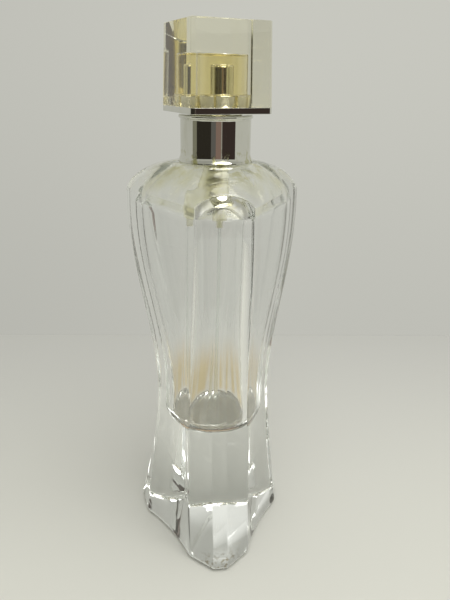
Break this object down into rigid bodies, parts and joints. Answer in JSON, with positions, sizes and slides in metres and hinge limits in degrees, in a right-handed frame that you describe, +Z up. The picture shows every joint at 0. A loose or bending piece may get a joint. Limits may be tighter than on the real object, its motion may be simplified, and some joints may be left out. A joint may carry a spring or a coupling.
{
  "type": "perfume bottle",
  "caption": "Three-cornered glass perfume flacon with a pinched waist, a chrome-collared crimp spray pump and a clear square lift-off cap.",
  "frame": {"origin": "on the bottle's axis, on the flat face of the glass foot that it stands on", "axes": "+Z up along the neck's axis; -Y towards one corner of the three-cornered glass; +X to the right of that corner seen from the front"},
  "size_m": [0.052, 0.0474, 0.1613],
  "materials": {
    "glass": "clear flint glass, fire polished",
    "perfume": "amber liquid, drying at its edge",
    "elastomer": "matt nitrile",
    "white_plastic": "natural polypropylene",
    "aluminium": "bright rolled aluminium",
    "chrome": "polished silver plating",
    "clear_tube": "translucent polyethylene tube",
    "steel": "stainless steel",
    "grey_plastic": "grey acetal",
    "acrylic": "clear acrylic, yellowed slightly with age",
    "amber_plastic": "translucent amber ionomer"
  },
  "bodies": {
    "bottle": {"glass_bottle": "glass", "perfume_residue": "perfume", "neck_gasket": "elastomer", "pump_housing": "white_plastic", "closure": "white_plastic", "stem_gasket": "elastomer", "ferrule": "aluminium", "collar_liner": "white_plastic", "collar": "chrome", "dip_tube": "clear_tube", "return_spring": "steel"},
    "cap": {"cap_plate": "chrome", "cap_block": "acrylic", "cap_insert": "amber_plastic"},
    "stem": {"stem": "white_plastic"},
    "spray_head": {"actuator_core": "white_plastic", "actuator_sleeve": "chrome", "nozzle_insert": "grey_plastic"},
    "piston": {"piston": "white_plastic"},
    "check_ball": {"check_ball": "steel"}
  },
  "joints": [
    {"name": "cap_lift", "type": "slide", "parent": "bottle", "child": "cap", "axis": [0, 0, 1], "range_m": [0, 0.03]},
    {"name": "press", "type": "slide", "parent": "bottle", "child": "stem", "axis": [0, 0, -1], "range_m": [0, 0.004], "stiffness_N_per_m": 1500, "springref_m": -0.003, "deforming": ["return_spring"]},
    {"name": "head_turn", "type": "hinge", "parent": "stem", "child": "spray_head", "pos_m": [0, 0, 0.1455], "axis": [0, 0, 1], "continuous": true},
    {"name": "piston_slip", "type": "slide", "parent": "stem", "child": "piston", "axis": [0, 0, 1], "range_m": [0, 0.0005]},
    {"name": "ball_valve", "type": "slide", "parent": "bottle", "child": "check_ball", "axis": [0, 0, 1], "range_m": [0, 0.0006]}
  ]
}
